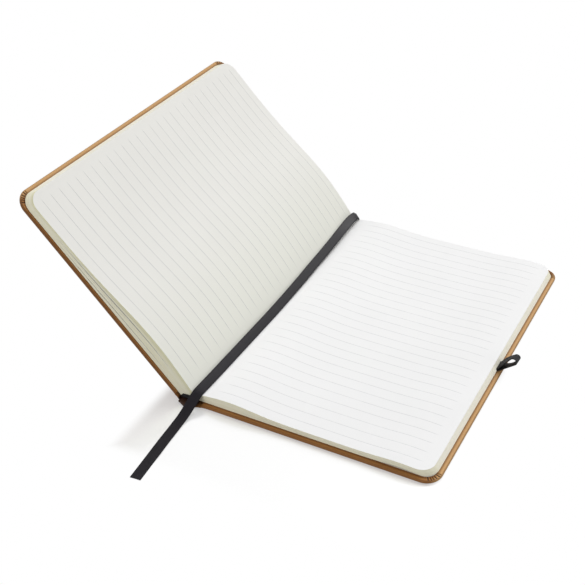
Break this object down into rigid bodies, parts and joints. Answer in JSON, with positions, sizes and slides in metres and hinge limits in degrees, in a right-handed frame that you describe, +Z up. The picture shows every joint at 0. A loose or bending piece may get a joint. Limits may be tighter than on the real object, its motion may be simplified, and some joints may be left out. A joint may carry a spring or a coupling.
{
  "type": "leather notebook",
  "caption": "Hardback notebook in tan leather, open on its back cover with the front cover leaning up, ruled leaves, a ribbon marker and an elastic pen loop.",
  "frame": {"origin": "on the table under the middle of the spine strip, half way along the spine", "axes": "+X from the spine to the back cover's fore edge, +Y along the spine from tail to head, +Z up from the table"},
  "size_m": [0.2493, 0.2707, 0.1045],
  "materials": {
    "cover_leather": "tan leather with a fine grain, soft satin, a little darker along worn edges",
    "grey_board": "matt grey bookbinding board",
    "endpaper": "smooth ivory endpaper, matt",
    "pages": "ivory writing paper, matt, with fine grey ruled lines and layered leaf edges",
    "lining": "glued lining paper, matt",
    "spine_band": "black ribbed cotton band",
    "ribbon": "charcoal satin ribbon with a fine weave, soft sheen",
    "elastic": "black ribbed elastic tape, matt"
  },
  "bodies": {
    "back_cover": {"back_board": "grey_board", "spine_board": "grey_board", "back_leather": "cover_leather", "back_endpaper": "endpaper", "pen_loop": "elastic"},
    "pages": {"text_block": "pages", "spine_lining": "lining", "head_band": "spine_band", "tail_band": "spine_band", "ribbon_marker": "ribbon"},
    "front_cover": {"front_board": "grey_board", "front_leather": "cover_leather", "front_endpaper": "endpaper"}
  },
  "joints": [
    {"name": "pages_turn", "type": "hinge", "parent": "back_cover", "child": "pages", "pos_m": [-0.0047, 0, 0.0009], "axis": [0, 1, 0], "range_deg": [-47.7, 0]},
    {"name": "front_cover_turn", "type": "hinge", "parent": "pages", "child": "front_cover", "pos_m": [-0.0047, 0, 0.0009], "axis": [0, -1, 0], "range_deg": [0, 47.7]}
  ]
}
